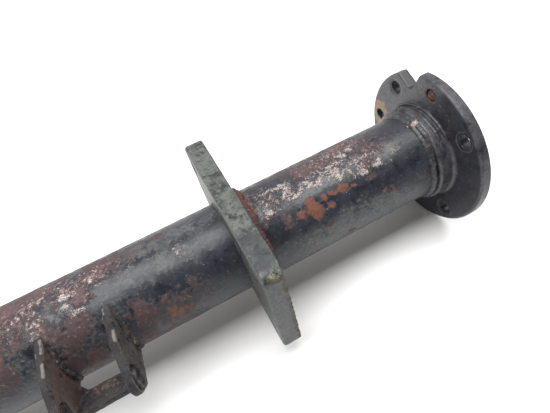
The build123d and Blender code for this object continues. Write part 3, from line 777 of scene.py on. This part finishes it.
def build_housing():
    """Tube, flange, plate, tail hub, bracket and stud, each as a dense weathered copy of its node."""
    dress(tube_skin(), TUBE_PAINT)
    flange = weathered("end_flange", "end_flange_worn", 0.85 * MM, flange_wear, relief=0.06, seed=31,
                       edge=0.45)
    dress(flange, FLANGE_PAINT)
    plate = weathered("mounting_plate", "mounting_plate_worn", 1.0 * MM, plate_wear, relief=0.30, seed=41,
                      edge=0.7)
    torch_cut(plate)
    dress(plate, PLATE_PAINT)
    hub = weathered("tail_hub", "tail_hub_worn", 1.1 * MM, even_wear(0.45, 0.2), relief=0.2, seed=51)
    dress(hub, TUBE_PAINT)
    for i, node in enumerate(("clevis_ear_flange_side", "clevis_ear_tail_side", "clevis_web")):
        wear = even_wear(0.45, 0.05, -0.1, -0.1) if node == "clevis_web" else ear_wear
        part = weathered(node, node + "_worn", 0.6 * MM, wear, relief=0.55, seed=61 + i, edge=0.25)
        dress(part, BRACKET_PAINT)
    for node in ("clevis_bush_flange_side", "clevis_bush_tail_side"):
        bush = weathered(node, node + "_worn", 0.45 * MM, even_wear(0.25, 0.1, 0.1, 0.3), relief=0.2,
                         seed=71, edge=0.35)
        dress(bush, BRACKET_PAINT)
    stud = weathered("sheared_stud", "sheared_stud_rusted", 0.4 * MM, even_wear(0.4, 0.5), relief=0.9,
                     seed=75, edge=0.0)
    dress(stud, RUST)


def build_hub_welds():
    """Two passes round the tube at each hub; only part of the second shows at the flange."""
    hubs = [("flange_hub_weld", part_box("flange_hub_weld")[1][0], -1, 81, -130, 264),
            ("tail_hub_weld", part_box("tail_hub_weld")[0][0], 1, 85, 0, 360)]
    for node, face, away, seed, start, sweep in hubs:
        first = weld_bead(node + "_pass_1", face + away * 0.0034, TUBE_R - 0.0006, 0.0036, ripple=3.4,
                          seed=seed, rust=0.08, flecks=-0.15)
        second = weld_bead(node + "_pass_2", face + away * 0.0004, TUBE_R + 0.0020, 0.0034, ripple=3.0,
                           seed=seed + 2, start=start, sweep=sweep, rust=0.12, flecks=-0.10)
        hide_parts(node)
        dress(first, WELD_PAINT)
        dress(second, WELD_PAINT)


def build_collar_ridges():
    """Two low ridges of weld on the flange's hub collar."""
    for k, (x, reach, size) in enumerate(((-0.0185, 0.0496, 0.0021), (-0.0122, 0.0514, 0.0019))):
        ridge = weld_bead(f"flange_collar_ridge_{k}", x, reach, size, ripple=3.4, seed=101 + k, start=34.0,
                          sweep=100.0, height=0.8, rust=0.0, flecks=-0.2)
        dress(ridge, WELD_PAINT)


def build_plate_welds():
    """A fat rusty bead on the flange side of the plate and a thin one on the tail side."""
    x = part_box("plate_weld_flange_side")[0][0] + 0.0006
    bead = weld_bead("plate_weld_flange_side_bead", x, TUBE_R + 0.0004, 0.0072, ripple=4.2, seed=91,
                     height=0.80, rust=0.85, flecks=-0.1)
    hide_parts("plate_weld_flange_side")
    dress(bead, PLATE_WELD_RUST)
    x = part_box("plate_weld_tail_side")[0][0] + 0.0019
    bead = weld_bead("plate_weld_tail_side_bead", x, TUBE_R + 0.0016, 0.0026, ripple=3.0, seed=93)
    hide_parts("plate_weld_tail_side")
    dress(bead, WELD_PAINT)


def build_ear_welds():
    """A bead along both faces of each ear, where it stands on the tube."""
    for side, (low, high) in EARS.items():
        beads = []
        for k, x in enumerate((low[0] - 0.0004, high[0] + 0.0004)):
            beads.append(weld_bead(f"clevis_{side}_bead_{k}", x, TUBE_R - 0.0002, 0.0036, ripple=3.2,
                                   seed=95 + k, start=133.0, sweep=74.0, height=0.75, rust=0.45))
            dress(beads[k], BRACKET_PAINT)
        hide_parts("clevis_welds_" + side)


def coat_running_gear():
    """Materials of the shaft, bearings, seals and rings, which keep their CAD shapes."""
    finish = {"drive_shaft": SHAFT_STEEL}
    for end in ("flange", "tail"):
        for piece in ("bearing_outer_race", "bearing_inner_race", "bearing_balls"):
            finish[f"{end}_{piece}"] = BEARING_STEEL
        for piece in ("bearing_shield", "bore_snap_ring", "shaft_snap_ring", "garter_spring", "seal_case"):
            finish[f"{end}_{piece}"] = PLAIN_STEEL
        finish[f"{end}_bearing_cage"] = CAGE_BRASS
        finish[f"{end}_seal_lip"] = SEAL_RUBBER
    for node, material in finish.items():
        coat_node(node, material)


# ------------------------------------------------------------------------------ stage and camera
FLOOR_HALF, FLOOR_GAP = 4.0, 0.0005
PANEL_X, PANEL_HEIGHT = -0.60, 1.7
PANEL_LENGTH, PANEL_DEPTH, PANEL_POWER = 3.4, 0.92, 74
ROOM_LIGHT = (1.0, 0.972, 0.94, 1)
ROOM_RAMP = {"From Min": -0.40, "From Max": 0.50, "To Min": 0.10, "To Max": 0.88}
CAMERA_PLACE = (-0.2545, -0.2437, 0.3234)
CAMERA_TURN = (39.40, 9.00, -27.16)        # degrees about X, then Y, then Z


def build_stage():
    """The floor, just under the lowest point of the part."""
    ground = cad_low[2] - FLOOR_GAP
    corners = [(-1, -1), (1, -1), (1, 1), (-1, 1)]
    floor = new_piece("floor", [(x * FLOOR_HALF, y * FLOOR_HALF, ground) for x, y in corners],
                      [(0, 1, 2, 3)], smooth=False)
    floor.data.materials.append(table_top())


def ceiling_panel():
    """One long soft light that faces straight down."""
    data = bpy.data.lights.new("ceiling_panel", "AREA")
    data.shape = "RECTANGLE"
    data.size, data.size_y = PANEL_LENGTH, PANEL_DEPTH
    data.energy = PANEL_POWER
    lamp = link(bpy.data.objects.new("ceiling_panel", data))
    lamp.location = (PANEL_X, 0.0, PANEL_HEIGHT)
    lamp.rotation_euler = Vector((0.0, 0.0, -PANEL_HEIGHT)).to_track_quat("-Z", "Y").to_euler()


def build_lights():
    """The ceiling panel, in a room that is dim on the -Y side and bright on the +Y side."""
    world = bpy.data.worlds.new("studio")
    bpy.context.scene.world = world
    world.use_nodes = True
    tree = world.node_tree
    place = tree.nodes.new("ShaderNodeTexCoord")
    split = tree.nodes.new("ShaderNodeSeparateXYZ")
    ramp = tree.nodes.new("ShaderNodeMapRange")
    tree.links.new(place.outputs["Generated"], split.inputs[0])
    tree.links.new(split.outputs["Y"], ramp.inputs["Value"])
    for key, value in ROOM_RAMP.items():
        ramp.inputs[key].default_value = value
    background = tree.nodes["Background"]
    background.inputs[0].default_value = ROOM_LIGHT
    tree.links.new(ramp.outputs["Result"], background.inputs[1])
    ceiling_panel()


def build_camera():
    """A phone's main camera, 0.4 m from the tube's axis, above it and to its -Y side."""
    data = bpy.data.cameras.new("camera")
    data.sensor_width = 36.0
    data.lens = 27.16
    data.clip_start = 0.01
    camera = link(bpy.data.objects.new("camera", data))
    camera.location = CAMERA_PLACE
    camera.rotation_euler = [radians(degrees) for degrees in CAMERA_TURN]
    bpy.context.scene.camera = camera


build_camera()
build_housing()
build_hub_welds()
build_collar_ridges()
build_plate_welds()
build_ear_welds()
coat_running_gear()
build_stage()
build_lights()
bpy.context.scene.view_settings.view_transform = "Standard"
